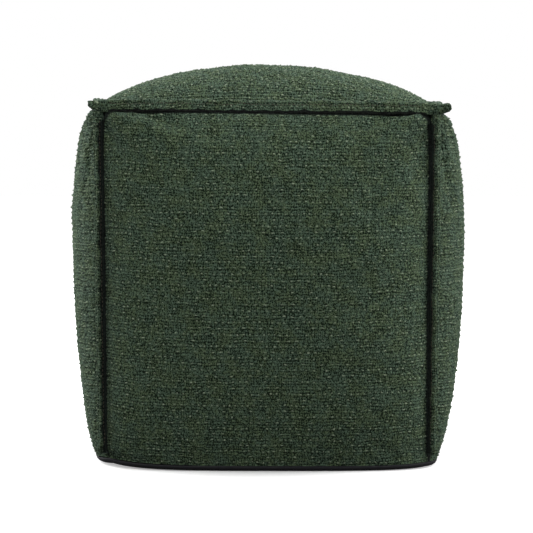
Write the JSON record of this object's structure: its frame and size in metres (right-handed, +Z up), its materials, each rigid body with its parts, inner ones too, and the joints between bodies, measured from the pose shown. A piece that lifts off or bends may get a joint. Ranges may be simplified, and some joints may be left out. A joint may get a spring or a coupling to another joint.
{
  "type": "cube pouf stool",
  "caption": "Filled cloth cube pouf for sitting or resting feet on, with a crowned top, bulging sides, pinched seam lips, corner ears and a plain base panel.",
  "frame": {"origin": "on the floor, under the middle of the base", "axes": "+Z up, front towards -Y, +X to the right as seen from the front"},
  "size_m": [0.4497, 0.4498, 0.4493],
  "materials": {
    "cover": "dark green boucle tweed, matt and knobbly",
    "seam": "the same boucle tweed, folded and stitched flat",
    "base": "smooth black cloth, matt"
  },
  "bodies": {
    "root": {"body": "cover", "base_panel": "base", "top_seam_front": "seam", "top_seam_right": "seam", "top_seam_back": "seam", "top_seam_left": "seam", "upright_seam_front_right": "seam", "upright_seam_back_right": "seam", "upright_seam_back_left": "seam", "upright_seam_front_left": "seam"}
  },
  "joints": []
}
